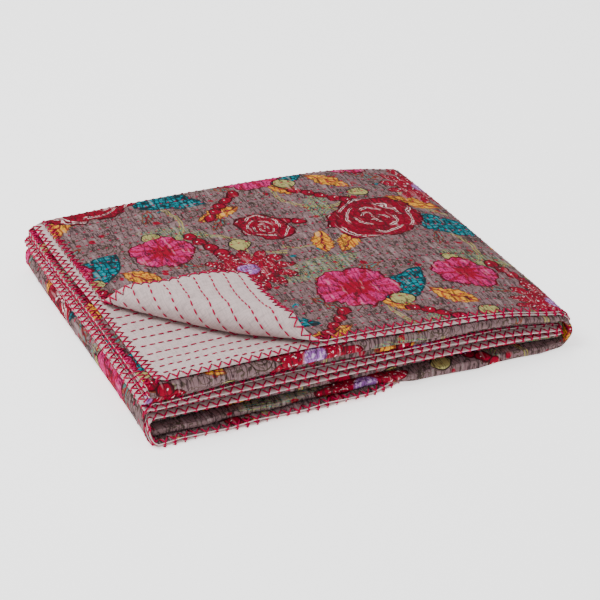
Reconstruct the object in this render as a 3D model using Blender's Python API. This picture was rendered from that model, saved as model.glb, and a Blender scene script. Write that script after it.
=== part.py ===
"""Kantha quilt, folded in quarters both ways, with its near left corner turned back.

The quilt is one sheet: a printed face cloth and a plain back cloth, sewn together all over.
It is drawn flat, in u along its width, v along its length and h through its thickness, and
every point is then carried through the folds: first the turned corner, then the two folds
along the length, then the two folds along the width. Metres, +Z up, front edge towards -Y.
"""

from math import cos, hypot, pi, sin, sqrt
from typing import NamedTuple

import bmesh
import bpy
from mathutils import Vector

CLOTH_WIDTH = 1.52
CLOTH_LENGTH = 1.27
THICKNESS = 0.0022

LAYER_PITCH = 0.0028     # from one layer to the next in a bundle of four
BUNDLE_PITCH = 0.0120    # from one bundle to the next
NOSE = 0.62              # how far a fold reaches out, as a share of a round one

EDGE_TAPER = 0.40        # thickness left at the very edge
EDGE_BAND = 0.004
CORNER_RADIUS = 0.010

CORNER_LEG_U = 0.144     # where the turned corner's fold meets the front edge
CORNER_LEG_V = 0.150     # where it meets the left edge
CORNER_BOW = 0.011       # how far the middle of that fold is pushed out
BOW_REACH = 0.055
ROLL_RADIUS = 0.0105
ROLL_PAST_FLAT = 0.17    # radians that the roll turns past half a turn, so that the tip lies down
FLAP_DRAW = 0.88         # reach of the turned corner beyond its roll, as a share of its flat length
FLAP_WAVE = 0.0022
FLAP_WAVE_LENGTH = 0.105
FLAP_WAVE_EASE = 0.030

ROW_PITCH = 0.0130       # between rows of running stitch
ROW_RISE = 0.0008        # how far the cloth stands up between two rows
ROW_EASE = 0.020         # over which the rows fade out beside the turned corner's roll
ROW_CLEAR = 0.012        # how far past the roll they start

FRONT_ROLL = 0.0030      # how much fatter the top bundle's front fold is than its pitch
FRONT_ROLL_RIGHT = 0.15  # share of that left at the right end
FRONT_ROLL_REACH = 0.050
EDGE_REACH = 0.6         # share of a run over which a step of its edge dies away
FRONT_WAVE = 0.0014      # waves of the front edges and front folds
FRONT_WAVE_LENGTH = 0.21
FRONT_WAVE_REACH = 0.10
RIGHT_LEAN = -0.006      # how far the right end draws in at the back
RIGHT_DRAW = -0.003      # how far it draws in at the front, over the reach
RIGHT_DRAW_REACH = 0.06

LOW_DROOP = 0.0054       # how far the lowest front fold sags, in front of the hems set back under it
LOW_DROOP_UPPER = 0.35   # share of that for its upper layer
LOW_DROOP_REACH = 0.014  # how far back from the fold the sag dies away
LOW_LEAN = -0.006        # how much further out that fold stands at the left end
LOW_CUTS = (0.0065, 0.0145)   # where its layers are cut to bend, from the fold

SWAY = 0.0012            # long waves in the layers, and their lengths each way
SWAY_X = 0.47
SWAY_Y = 0.71
CROSS_SWAY_X = 1.10
CROSS_SWAY_Y = 0.58
CROSS_SWAY_START = 0.8

RUN_CUTS = (0.16, 0.36, 0.58, 0.80)    # where each run is cut, as shares from its first edge
TURN_CUTS_ACROSS = (7, 6, 5)           # steps in each fold
TURN_CUTS_ALONG = (5, 6, 4)
ROLL_STEPS = 8
CUT_CLEAR = 1e-5         # a cut line leaves corners this near to it alone


class Rise(NamedTuple):
    """Height of the stack at one place across its width, as a share of the height drawn."""

    front: float
    back: float


# Five even steps across, from the left end to the right end.
RISES = (
    Rise(front=1.04, back=0.96),
    Rise(front=1.06, back=0.99),
    Rise(front=1.06, back=1.015),
    Rise(front=1.03, back=1.01),
    Rise(front=0.93, back=0.92),
    Rise(front=0.62, back=0.66),
)


class Bundle(NamedTuple):
    """Four layers of the cloth, and how far each front edge or fold steps back (+) or out (-)."""

    edge_a: float    # front edge of the layer with the printed side out
    edge_b: float    # front edge of the layer next to it
    fold: float      # front fold of the two other layers


# In the order of the cloth: the top bundle, the lowest, the third and the second.
BUNDLES = (
    Bundle(edge_a=0.0005, edge_b=-0.0020, fold=-0.0035),
    Bundle(edge_a=0.0110, edge_b=0.0100, fold=-0.0050),
    Bundle(edge_a=0.0020, edge_b=-0.0050, fold=0.0015),
    Bundle(edge_a=-0.0040, edge_b=0.0010, fold=0.0025),
)


class Step(NamedTuple):
    """How far a left edge or left fold steps right (+) or left (-), at the front and at the back."""

    front: float
    back: float


# The four layers of a bundle from the top: the top bundle, and the one with the other hems.
LEFT_TOP = (
    Step(front=0.0060, back=-0.0010),
    Step(front=0.0, back=-0.0100),
    Step(front=-0.0080, back=-0.0150),
    Step(front=-0.0065, back=-0.0150),
)
LEFT_INNER = (
    Step(front=-0.0100, back=-0.0180),
    Step(front=-0.0050, back=-0.0130),
    Step(front=-0.0115, back=-0.0195),
    Step(front=-0.0075, back=-0.0155),
)
LEFT_FOLDED = (Step(front=-0.0050, back=-0.0130),) * 4

LEVEL_ORDER = (0, 3, 2, 1)
TURN_RADII = (1.5, 0.5, 0.5)    # in pitches, for the three folds along the path


def hold(value):
    """The value, held between 0 and 1."""
    return min(max(value, 0.0), 1.0)


def smooth(value):
    """Smooth step from 0 to 1."""
    held = hold(value)
    return held * held * (3.0 - 2.0 * held)


def through(values, place):
    """A smooth curve through evenly spaced values, with place from 0 at the first to 1 at the last."""
    last = len(values) - 1
    index = min(int(place * last), last - 1)
    share = place * last - index
    before, here, there, after = [values[min(max(index + step, 0), last)] for step in (-1, 0, 1, 2)]
    bend = 2 * before - 5 * here + 4 * there - after
    turn = 3 * (here - there) + after - before
    return here + share * ((there - before) + share * (bend + share * turn)) / 2


class FoldPath:
    """A strip folded in half twice: four runs at levels 0, 3, 2 and 1, joined by three folds."""

    def __init__(self, length, pitch):
        self.pitch = pitch
        self.turns = [radius * pitch for radius in TURN_RADII]
        self.run = (length - pi * sum(self.turns)) / 4
        starts = [0.0]
        for radius in self.turns:
            starts.append(starts[-1] + self.run)
            starts.append(starts[-1] + pi * radius)
        starts.append(starts[-1] + self.run)
        self.starts = starts

    def lines(self, run_cuts, turn_cuts):
        """Positions along the strip where the mesh is cut: shares of each run, steps of each turn."""
        found = []
        for index in range(7):
            start = self.starts[index]
            end = self.starts[index + 1]
            if index % 2 == 0:
                shares = run_cuts if index % 4 == 0 else [1.0 - share for share in run_cuts]
            else:
                steps = turn_cuts[index // 2]
                shares = [step / steps for step in range(1, steps)]
            found += [start + share * (end - start) for share in shares]
            found.append(end)
        return sorted(set(found[:-1]))

    def place(self, s):
        """Stretch number, 0 to 6, and the share of it that lies before s."""
        index = 0
        while index < 6 and s > self.starts[index + 1]:
            index += 1
        start = self.starts[index]
        return index, (s - start) / (self.starts[index + 1] - start)

    def fold(self, s, h, flare=0.0):
        """Distance from the free edges and height in the fold, for a point at h off the strip.

        flare opens the fold on the near side: it is how much its radius grows.
        """
        index, share = self.place(s)
        pitch = self.pitch
        if index == 0:
            return s, 1.5 * pitch + 2 * flare + h
        if index == 1:
            angle = pi * share
            reach = self.turns[0] + h
            return self.run + NOSE * reach * sin(angle), reach * cos(angle)
        if index == 2:
            return self.run * (1 - share), -1.5 * pitch - h
        if index == 3:
            angle = pi * (1 - share)
            reach = self.turns[1] + flare + h
            return -NOSE * reach * sin(angle), flare - pitch + reach * cos(angle)
        if index == 4:
            return self.run * share, -0.5 * pitch + 2 * flare + h
        if index == 5:
            angle = pi * (1 - share)
            reach = self.turns[2] - h
            return self.run + NOSE * reach * sin(angle), reach * cos(angle)
        return self.run * (1 - share), 0.5 * pitch + 2 * flare - h


ACROSS = FoldPath(CLOTH_WIDTH, BUNDLE_PITCH)
ALONG = FoldPath(CLOTH_LENGTH, LAYER_PITCH)
DRAWN_HEIGHT = 3 * BUNDLE_PITCH + 3 * LAYER_PITCH + THICKNESS


def past_corner_fold(u, v):
    """Distance of a point of the sheet beyond the turned corner's fold, towards the corner."""
    slope_u = 1 / CORNER_LEG_U
    slope_v = 1 / CORNER_LEG_V
    return (1 - u * slope_u - v * slope_v) / hypot(slope_u, slope_v)


def bow(u, v):
    """How far the turned corner's roll is pushed out at a place in the plan, in the middle most."""
    along = (u * CORNER_LEG_U + (CORNER_LEG_V - v) * CORNER_LEG_V) / (CORNER_LEG_U ** 2 + CORNER_LEG_V ** 2)
    share = hold(along)
    return CORNER_BOW * 4 * share * (1 - share) * smooth(1 + past_corner_fold(u, v) / BOW_REACH)


def turn_corner(u, v, h):
    """Rolls the near left corner of the top layer up and back, so that its plain side shows."""
    if u > ACROSS.starts[1] or v > ALONG.starts[1]:
        return u, v, h
    length = hypot(1 / CORNER_LEG_U, 1 / CORNER_LEG_V)
    out_u = -1 / CORNER_LEG_U / length
    out_v = -1 / CORNER_LEG_V / length
    past = past_corner_fold(u, v)
    if past > 0:
        angle = min(past / ROLL_RADIUS, pi + ROLL_PAST_FLAT)
        rest = (past - angle * ROLL_RADIUS) * FLAP_DRAW
        radius = ROLL_RADIUS - h
        shift = radius * sin(angle) + rest * cos(angle) - past
        wave_at = 2 * pi * (u * out_v - v * out_u) / FLAP_WAVE_LENGTH
        h = ROLL_RADIUS - radius * cos(angle) + rest * sin(angle)
        h += FLAP_WAVE * smooth(rest / FLAP_WAVE_EASE) * (1 + sin(wave_at))
        u += shift * out_u
        v += shift * out_v
    push = bow(u, v)
    return u + push * out_u, v + push * out_v, h


def round_corner(u, v):
    """Rounds the four corners of the flat sheet."""
    to_u = min(u, CLOTH_WIDTH - u)
    to_v = min(v, CLOTH_LENGTH - v)
    if to_u >= CORNER_RADIUS or to_v >= CORNER_RADIUS:
        return u, v
    a = 1 - to_u / CORNER_RADIUS
    b = 1 - to_v / CORNER_RADIUS
    in_u = CORNER_RADIUS * (1 - a * sqrt(1 - b * b / 2))
    in_v = CORNER_RADIUS * (1 - b * sqrt(1 - a * a / 2))
    return (in_u if u < CLOTH_WIDTH / 2 else CLOTH_WIDTH - in_u,
            in_v if v < CLOTH_LENGTH / 2 else CLOTH_LENGTH - in_v)


def quilted(u, v, h):
    """Thickness at a point: tapered at the edges, and raised between rows where it shows."""
    edge = min(u, CLOTH_WIDTH - u, v, CLOTH_LENGTH - v)
    h *= EDGE_TAPER + (1 - EDGE_TAPER) * smooth(edge / EDGE_BAND)
    rise = ROW_RISE * sin(pi * v / ROW_PITCH) ** 2
    past = past_corner_fold(u, v)
    on_top = u < ACROSS.starts[1] and v < ALONG.starts[1]
    rise *= smooth(edge / ROW_PITCH)
    if on_top and h > 0:
        h += rise * smooth(-past / ROW_EASE)
    if on_top and h < 0:
        h -= rise * smooth((past - ROW_CLEAR) / ROW_EASE)
    under = past_corner_fold(u, CLOTH_LENGTH - v)
    if v > ALONG.starts[6] and h < 0:
        h -= rise * smooth((under - ROW_CLEAR) / ROW_EASE)
    return h


def between_runs(path, s, values):
    """A value for each of the four runs, eased over the folds that join them."""
    index, share = path.place(s)
    if index % 2 == 0:
        return values[index // 2]
    before, after = values[index // 2], values[index // 2 + 1]
    return before + (after - before) * smooth(share)


def front_step(u, v):
    """How far the front edge or front fold of this layer steps back."""
    edges_a = [bundle.edge_a for bundle in BUNDLES]
    folds = [bundle.fold for bundle in BUNDLES]
    edges_b = [bundle.edge_b for bundle in BUNDLES]
    steps = [between_runs(ACROSS, u, values) for values in (edges_a, folds, folds, edges_b)]
    return between_runs(ALONG, v, steps)


def left_step(u, v):
    """How far the left edge or left fold of this layer steps right, at the front and at the back."""
    by_bundle = []
    for steps in (LEFT_TOP, LEFT_FOLDED, LEFT_FOLDED, LEFT_INNER):
        fronts = [steps[level].front for level in LEVEL_ORDER]
        backs = [steps[level].back for level in LEVEL_ORDER]
        by_bundle.append(Step(front=between_runs(ALONG, v, fronts), back=between_runs(ALONG, v, backs)))
    return Step(
        front=between_runs(ACROSS, u, [step.front for step in by_bundle]),
        back=between_runs(ACROSS, u, [step.back for step in by_bundle]))


def front_flare(u, v):
    """How much the front fold of the top bundle opens at a place, less and less towards the right."""
    index, share = ACROSS.place(u)
    if index > 1:
        return 0.0
    if index == 1:
        open_share = FRONT_ROLL_RIGHT * (1 - smooth(share))
    else:
        open_share = 1 - (1 - FRONT_ROLL_RIGHT) * smooth(u / ACROSS.run)
    reach_in = v if v <= ALONG.starts[1] else ALONG.fold(v, 0.0)[0]
    return FRONT_ROLL * open_share * (1 - smooth(reach_in / FRONT_ROLL_REACH))


def in_lowest(u):
    """1 in the lowest bundle, eased to 0 over the folds at its two ends."""
    return between_runs(ACROSS, u, (0.0, 1.0, 0.0, 0.0))


def low_droop(u, v, y):
    """How far the cloth sags at a place, which only the lowest bundle's front fold does."""
    layer = between_runs(ALONG, v, (0.0, LOW_DROOP_UPPER, 1.0, 0.0))
    return LOW_DROOP * in_lowest(u) ** 3 * layer * (1 - smooth(y / LOW_DROOP_REACH))


def settle(x, y, z):
    """Presses the stack to its own height at each place, and gives the layers long waves."""
    right = hold(x / (ACROSS.run + BUNDLE_PITCH))
    back = hold(y / ALONG.run)
    front_share = through([rise.front for rise in RISES], right)
    back_share = through([rise.back for rise in RISES], right)
    share = front_share * (1 - back) + back_share * back
    wave = sin(2 * pi * (x / SWAY_X + y / SWAY_Y))
    wave *= sin(2 * pi * (y / CROSS_SWAY_Y - x / CROSS_SWAY_X) + CROSS_SWAY_START)
    return z * share + SWAY * wave * smooth(z / DRAWN_HEIGHT)


def carry(point):
    """Carries a point of the flat sheet to its place in the folded quilt."""
    u, v, h = point
    h = quilted(u, v, h)
    u, v = round_corner(u, v)
    back_step = front_step(u, v)
    side_step = left_step(u, v)
    flat_u, flat_v = u, v
    u, v, h = turn_corner(u, v, h)
    y, level = ALONG.fold(v, h, front_flare(u, v))
    x, z = ACROSS.fold(u, level)
    back_step += LOW_LEAN * in_lowest(flat_u) * (1 - hold(x / ACROSS.run))
    z += DRAWN_HEIGHT / 2 - low_droop(flat_u, flat_v, y)
    y += back_step * (1 - smooth(y / (EDGE_REACH * ALONG.run)))
    back = y / ALONG.run
    side = side_step.front + (side_step.back - side_step.front) * smooth(back)
    side *= 1 - smooth(x / (EDGE_REACH * ACROSS.run))
    draw = RIGHT_LEAN * hold(back) ** 3 + RIGHT_DRAW * (1 - smooth(y / RIGHT_DRAW_REACH))
    x += side + draw * smooth(x / ACROSS.run)
    wave = sin(2 * pi * (x / FRONT_WAVE_LENGTH + back_step / FRONT_WAVE))
    y += FRONT_WAVE * wave * (1 - smooth(y / FRONT_WAVE_REACH))
    return x, y, settle(x, y, z)


def cut_along(mesh, wanted, point, normal):
    """Cuts the wanted faces that a plane through the point passes."""
    near = []
    for face in mesh.faces:
        sides = [(vert.co - point).dot(normal) for vert in face.verts]
        if min(sides) < -CUT_CLEAR and max(sides) > CUT_CLEAR and wanted(face):
            near.append(face)
    edges = {edge for face in near for edge in face.edges}
    corners = {vert for face in near for vert in face.verts}
    bmesh.ops.bisect_plane(
        mesh, geom=[*near, *edges, *corners], dist=CUT_CLEAR / 10, plane_co=point, plane_no=normal)


def cut_lines(mesh, wanted, axis, values):
    """Cuts the wanted faces along lines at the given values of u or v."""
    normal = Vector((0.0, 0.0, 0.0))
    normal[axis] = 1.0
    for value in values:
        cut_along(mesh, wanted, normal * value, normal)


def cut_across_corner(mesh, wanted, distances):
    """Cuts the wanted faces along lines that run with the turned corner's fold."""
    normal = -Vector((1 / CORNER_LEG_U, 1 / CORNER_LEG_V, 0.0)).normalized()
    for distance in distances:
        cut_along(mesh, wanted, Vector((CORNER_LEG_U, 0.0, 0.0)) + normal * distance, normal)


def split_quads(mesh):
    """Cuts each quad on the diagonal that lies the same way in every layer once it is folded."""
    for face in list(mesh.faces):
        middle = face.calc_center_median()
        flips = ACROSS.place(middle.x)[0] // 2 + ALONG.place(middle.y)[0] // 2
        ends = sorted(face.verts, key=lambda vert: vert.co.x + vert.co.y * (-1) ** flips)
        bmesh.utils.face_split(face, ends[0], ends[-1])


def on_side(face, side):
    """Whether a face of the slab is on or next to the printed side, 1, or the plain side, -1."""
    return any(vert.co.z * side > 0 for vert in face.verts)


def any_face(_face):
    return True


def flat_sheet():
    """The flat quilt as a closed slab, cut along every line that a fold or a row needs."""
    mesh = bmesh.new()
    corners = [mesh.verts.new((u, v, -THICKNESS / 2)) for u, v in (
        (0, 0), (CLOTH_WIDTH, 0), (CLOTH_WIDTH, CLOTH_LENGTH), (0, CLOTH_LENGTH))]
    mesh.faces.new(corners)
    lines_u = ACROSS.lines(RUN_CUTS, TURN_CUTS_ACROSS)
    lines_v = ALONG.lines(RUN_CUTS, TURN_CUTS_ALONG)
    for cut in LOW_CUTS:
        lines_v += [ALONG.starts[3] - cut, ALONG.starts[4] + cut]
    for edge in (EDGE_BAND, CORNER_RADIUS):
        lines_u += [edge, CLOTH_WIDTH - edge]
        lines_v += [edge, CLOTH_LENGTH - edge]
    cut_lines(mesh, any_face, 0, lines_u)
    cut_lines(mesh, any_face, 1, lines_v)
    split_quads(mesh)
    raised = bmesh.ops.extrude_face_region(mesh, geom=list(mesh.faces), use_keep_orig=True)
    lifted = [item for item in raised["geom"] if isinstance(item, bmesh.types.BMVert)]
    bmesh.ops.translate(mesh, verts=lifted, vec=(0, 0, THICKNESS))
    bmesh.ops.recalc_face_normals(mesh, faces=list(mesh.faces))
    return mesh


def cut_rows_and_roll(mesh):
    """Adds the lines of the rolled corner, and of the quilting rows that show."""
    top_u = ACROSS.starts[1]
    top_v = ALONG.starts[1]
    second_v = ALONG.starts[6]

    def in_top(face):
        middle = face.calc_center_median()
        return middle.x < top_u and middle.y < top_v

    def turned(face):
        middle = face.calc_center_median()
        return in_top(face) and on_side(face, -1) and past_corner_fold(middle.x, middle.y) > ROLL_RADIUS

    def under_corner(face):
        middle = face.calc_center_median()
        past = past_corner_fold(middle.x, CLOTH_LENGTH - middle.y)
        return middle.y > second_v and on_side(face, -1) and past > 0

    roll_end = (pi + ROLL_PAST_FLAT) * ROLL_RADIUS
    roll = [roll_end * step / ROLL_STEPS for step in range(ROLL_STEPS + 1)]
    cut_across_corner(mesh, in_top, roll)
    half_rows = int(CLOTH_LENGTH / ROW_PITCH * 2)
    rows = [ROW_PITCH / 2 * step for step in range(1, half_rows + 1)]
    cut_lines(mesh, lambda face: in_top(face) and on_side(face, 1), 1,
              [row for row in rows if row < top_v])
    cut_lines(mesh, turned, 1, [row for row in rows if row < CORNER_LEG_V])
    cut_lines(mesh, under_corner, 1, [row for row in rows if row > CLOTH_LENGTH - CORNER_LEG_V])


def cloth_material():
    material = bpy.data.materials.new("printed cotton")
    material.use_nodes = True
    shader = material.node_tree.nodes["Principled BSDF"]
    shader.inputs["Base Color"].default_value = (0.30, 0.19, 0.19, 1.0)
    shader.inputs["Roughness"].default_value = 0.9
    shader.inputs["Metallic"].default_value = 0.0
    return material


def make_quilt():
    mesh = flat_sheet()
    cut_rows_and_roll(mesh)
    bmesh.ops.triangulate(mesh, faces=[face for face in mesh.faces if len(face.verts) > 3])
    for vert in mesh.verts:
        vert.co = carry(vert.co)
    low = [min(vert.co[axis] for vert in mesh.verts) for axis in range(3)]
    high = [max(vert.co[axis] for vert in mesh.verts) for axis in range(3)]
    middle = ((low[0] + high[0]) / 2, (low[1] + high[1]) / 2, low[2])
    bmesh.ops.translate(mesh, verts=list(mesh.verts), vec=[-value for value in middle])
    data = bpy.data.meshes.new("quilt")
    mesh.to_mesh(data)
    mesh.free()
    data.materials.append(cloth_material())
    data.shade_smooth()
    quilt = bpy.data.objects.new("quilt", data)
    bpy.context.scene.collection.objects.link(quilt)


def main():
    for item in list(bpy.data.objects):
        bpy.data.objects.remove(item)
    make_quilt()


main()
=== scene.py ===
"""Looks of a kantha quilt that is folded in quarters both ways, near left corner turned back.

The quilt is one sheet, drawn flat in u along its width, v along its length and h through its
thickness, and carried point by point through its folds. Its print, weave and stitches are all
laid out on the flat sheet, in metres, so that they follow every fold.
"""

from functools import lru_cache
from math import cos, hypot, pi, radians, sin, sqrt
from typing import NamedTuple

import bmesh
import bpy
from bpy.props import FloatProperty, FloatVectorProperty, PointerProperty
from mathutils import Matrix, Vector, noise


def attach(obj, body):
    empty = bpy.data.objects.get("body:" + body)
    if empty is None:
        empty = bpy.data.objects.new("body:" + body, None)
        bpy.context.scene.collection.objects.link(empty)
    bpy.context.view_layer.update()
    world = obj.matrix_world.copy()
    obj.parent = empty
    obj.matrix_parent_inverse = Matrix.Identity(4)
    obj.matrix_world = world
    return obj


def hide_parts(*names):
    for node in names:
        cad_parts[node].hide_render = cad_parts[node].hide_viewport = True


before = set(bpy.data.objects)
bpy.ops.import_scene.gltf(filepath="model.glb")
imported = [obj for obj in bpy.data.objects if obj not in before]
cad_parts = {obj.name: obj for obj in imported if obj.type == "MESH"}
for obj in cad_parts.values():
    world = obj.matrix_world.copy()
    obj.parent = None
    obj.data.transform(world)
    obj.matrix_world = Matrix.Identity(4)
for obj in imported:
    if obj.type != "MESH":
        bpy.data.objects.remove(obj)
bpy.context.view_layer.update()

bl_info = {
    "name": "Folded Kantha Quilt",
    "version": (1, 0, 0),
    "blender": (4, 5, 0),
    "location": "3D View > Sidebar > Kantha",
    "description": "Builds a folded, hand-stitched kantha quilt with its print and stitches",
    "category": "Object",
}

CLOTH_WIDTH = 1.52
CLOTH_LENGTH = 1.27
THICKNESS = 0.0022

# The folds, with the same values as the solid.
LAYER_PITCH = 0.0028     # from one layer to the next in a bundle of four
BUNDLE_PITCH = 0.0120    # from one bundle to the next
NOSE = 0.62              # how far a fold reaches out, as a share of a round one

EDGE_TAPER = 0.40        # thickness left at the very edge
EDGE_BAND = 0.004
CORNER_RADIUS = 0.010

CORNER_LEG_U = 0.144     # where the turned corner's fold meets the front edge
CORNER_LEG_V = 0.150     # where it meets the left edge
CORNER_BOW = 0.011       # how far the middle of that fold is pushed out
BOW_REACH = 0.055
ROLL_RADIUS = 0.0105
ROLL_PAST_FLAT = 0.17    # radians that the roll turns past half a turn, so that the tip lies down
FLAP_DRAW = 0.88         # reach of the turned corner beyond its roll, as a share of its flat length
FLAP_WAVE = 0.0022
FLAP_WAVE_LENGTH = 0.105
FLAP_WAVE_EASE = 0.030

ROW_PITCH = 0.0130       # between rows of running stitch
ROW_RISE = 0.0008        # how far the cloth stands up between two rows
ROW_EASE = 0.020         # over which the rows fade out beside the turned corner's roll
ROW_CLEAR = 0.012        # how far past the roll they start

FRONT_ROLL = 0.0030      # how much fatter the top bundle's front fold is than its pitch
FRONT_ROLL_RIGHT = 0.15  # share of that left at the right end
FRONT_ROLL_REACH = 0.050
EDGE_REACH = 0.6         # share of a run over which a step of its edge dies away
FRONT_WAVE = 0.0014      # waves of the front edges and front folds
FRONT_WAVE_LENGTH = 0.21
FRONT_WAVE_REACH = 0.10
RIGHT_LEAN = -0.006      # how far the right end draws in at the back
RIGHT_DRAW = -0.003      # how far it draws in at the front, over the reach
RIGHT_DRAW_REACH = 0.06

LOW_DROOP = 0.0054       # how far the lowest front fold sags, in front of the hems set back under it
LOW_DROOP_UPPER = 0.35   # share of that for its upper layer
LOW_DROOP_REACH = 0.014  # how far back from the fold the sag dies away
LOW_LEAN = -0.006        # how much further out that fold stands at the left end
LOW_CUTS = (0.0035, 0.0065, 0.0105, 0.0145)   # where its layers are cut to bend, from the fold
LOW_HEMS = -0.0205       # how much further out the hems under it stand in its left part
LOW_TUCK = 0.0035        # how much less far out the fold stands there
LOW_PART = (0.46, 0.26)  # share of the run where that part ends, and over which it ends

SWAY = 0.0012            # long waves in the layers, and their lengths each way
SWAY_X = 0.47
SWAY_Y = 0.71
CROSS_SWAY_X = 1.10
CROSS_SWAY_Y = 0.58
CROSS_SWAY_START = 0.8


class Rise(NamedTuple):
    """Height of the stack at one place across its width, as a share of the height drawn."""

    front: float
    back: float


# Five even steps across, from the left end to the right end.
RISES = (
    Rise(front=1.04, back=0.96),
    Rise(front=1.06, back=0.99),
    Rise(front=1.06, back=1.015),
    Rise(front=1.03, back=1.01),
    Rise(front=0.93, back=0.92),
    Rise(front=0.62, back=0.66),
)


class Bundle(NamedTuple):
    """Four layers of the cloth, and how far each front edge or fold steps back (+) or out (-)."""

    edge_a: float    # front edge of the layer with the printed side out
    edge_b: float    # front edge of the layer next to it
    fold: float      # front fold of the two other layers


# In the order of the cloth: the top bundle, the lowest, the third and the second.
BUNDLES = (
    Bundle(edge_a=0.0005, edge_b=-0.0020, fold=-0.0035),
    Bundle(edge_a=0.0110, edge_b=0.0100, fold=-0.0050),
    Bundle(edge_a=0.0020, edge_b=-0.0050, fold=0.0015),
    Bundle(edge_a=-0.0040, edge_b=0.0010, fold=0.0025),
)


class Step(NamedTuple):
    """How far a left edge or left fold steps right (+) or left (-), at the front and at the back."""

    front: float
    back: float


# The four layers of a bundle from the top: the top bundle, and the one with the other hems.
LEFT_TOP = (
    Step(front=0.0060, back=-0.0010),
    Step(front=0.0, back=-0.0100),
    Step(front=-0.0080, back=-0.0150),
    Step(front=-0.0065, back=-0.0150),
)
LEFT_INNER = (
    Step(front=-0.0100, back=-0.0180),
    Step(front=-0.0050, back=-0.0130),
    Step(front=-0.0115, back=-0.0195),
    Step(front=-0.0075, back=-0.0155),
)
LEFT_FOLDED = (Step(front=-0.0050, back=-0.0130),) * 4

LEVEL_ORDER = (0, 3, 2, 1)
TURN_RADII = (1.5, 0.5, 0.5)    # in pitches, for the three folds along the path

PRINTED = 0.5 * THICKNESS
PLAIN = -0.5 * THICKNESS


def hold(value):
    """The value, held between 0 and 1."""
    return min(max(value, 0.0), 1.0)


def smooth(value):
    """Smooth step from 0 to 1."""
    held = hold(value)
    return held * held * (3.0 - 2.0 * held)


def through(values, place):
    """A smooth curve through evenly spaced values, with place from 0 at the first to 1 at the last."""
    last = len(values) - 1
    index = min(int(place * last), last - 1)
    share = place * last - index
    before, here, there, after = [values[min(max(index + step, 0), last)] for step in (-1, 0, 1, 2)]
    bend = 2 * before - 5 * here + 4 * there - after
    turn = 3 * (here - there) + after - before
    return here + share * ((there - before) + share * (bend + share * turn)) / 2


class FoldPath:
    """A strip folded in half twice: four runs at levels 0, 3, 2 and 1, joined by three folds."""

    def __init__(self, length, pitch):
        self.pitch = pitch
        self.turns = [radius * pitch for radius in TURN_RADII]
        self.run = (length - pi * sum(self.turns)) / 4
        starts = [0.0]
        for radius in self.turns:
            starts.append(starts[-1] + self.run)
            starts.append(starts[-1] + pi * radius)
        starts.append(starts[-1] + self.run)
        self.starts = starts

    @lru_cache(maxsize=8192)
    def place(self, s):
        index = 0
        while index < 6 and s > self.starts[index + 1]:
            index += 1
        start = self.starts[index]
        return index, (s - start) / (self.starts[index + 1] - start)

    def fold(self, s, h, flare=0.0):
        """Distance from the free edges and height, for a point at h off the strip."""
        index, share = self.place(s)
        pitch = self.pitch
        if index == 0:
            return s, 1.5 * pitch + 2 * flare + h
        if index == 1:
            angle = pi * share
            reach = self.turns[0] + h
            return self.run + NOSE * reach * sin(angle), reach * cos(angle)
        if index == 2:
            return self.run * (1 - share), -1.5 * pitch - h
        if index == 3:
            angle = pi * (1 - share)
            reach = self.turns[1] + flare + h
            return -NOSE * reach * sin(angle), flare - pitch + reach * cos(angle)
        if index == 4:
            return self.run * share, -0.5 * pitch + 2 * flare + h
        if index == 5:
            angle = pi * (1 - share)
            reach = self.turns[2] - h
            return self.run + NOSE * reach * sin(angle), reach * cos(angle)
        return self.run * (1 - share), 0.5 * pitch + 2 * flare - h


ACROSS = FoldPath(CLOTH_WIDTH, BUNDLE_PITCH)
ALONG = FoldPath(CLOTH_LENGTH, LAYER_PITCH)
DRAWN_HEIGHT = 3 * BUNDLE_PITCH + 3 * LAYER_PITCH + THICKNESS


def past_corner_fold(u, v):
    """Distance of a point of the sheet beyond the turned corner's fold, towards the corner."""
    slope_u = 1 / CORNER_LEG_U
    slope_v = 1 / CORNER_LEG_V
    return (1 - u * slope_u - v * slope_v) / hypot(slope_u, slope_v)


def bow(u, v):
    """How far the turned corner's roll is pushed out at a place in the plan, in the middle most."""
    along = (u * CORNER_LEG_U + (CORNER_LEG_V - v) * CORNER_LEG_V) / (CORNER_LEG_U ** 2 + CORNER_LEG_V ** 2)
    share = hold(along)
    return CORNER_BOW * 4 * share * (1 - share) * smooth(1 + past_corner_fold(u, v) / BOW_REACH)


def turn_corner(u, v, h):
    """Rolls the near left corner of the top layer up and back, so that its plain side shows."""
    if u > ACROSS.starts[1] or v > ALONG.starts[1]:
        return u, v, h
    length = hypot(1 / CORNER_LEG_U, 1 / CORNER_LEG_V)
    out_u = -1 / CORNER_LEG_U / length
    out_v = -1 / CORNER_LEG_V / length
    past = past_corner_fold(u, v)
    if past > 0:
        angle = min(past / ROLL_RADIUS, pi + ROLL_PAST_FLAT)
        rest = (past - angle * ROLL_RADIUS) * FLAP_DRAW
        radius = ROLL_RADIUS - h
        shift = radius * sin(angle) + rest * cos(angle) - past
        wave_at = 2 * pi * (u * out_v - v * out_u) / FLAP_WAVE_LENGTH
        h = ROLL_RADIUS - radius * cos(angle) + rest * sin(angle)
        h += FLAP_WAVE * smooth(rest / FLAP_WAVE_EASE) * (1 + sin(wave_at))
        u += shift * out_u
        v += shift * out_v
    push = bow(u, v)
    return u + push * out_u, v + push * out_v, h


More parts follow.
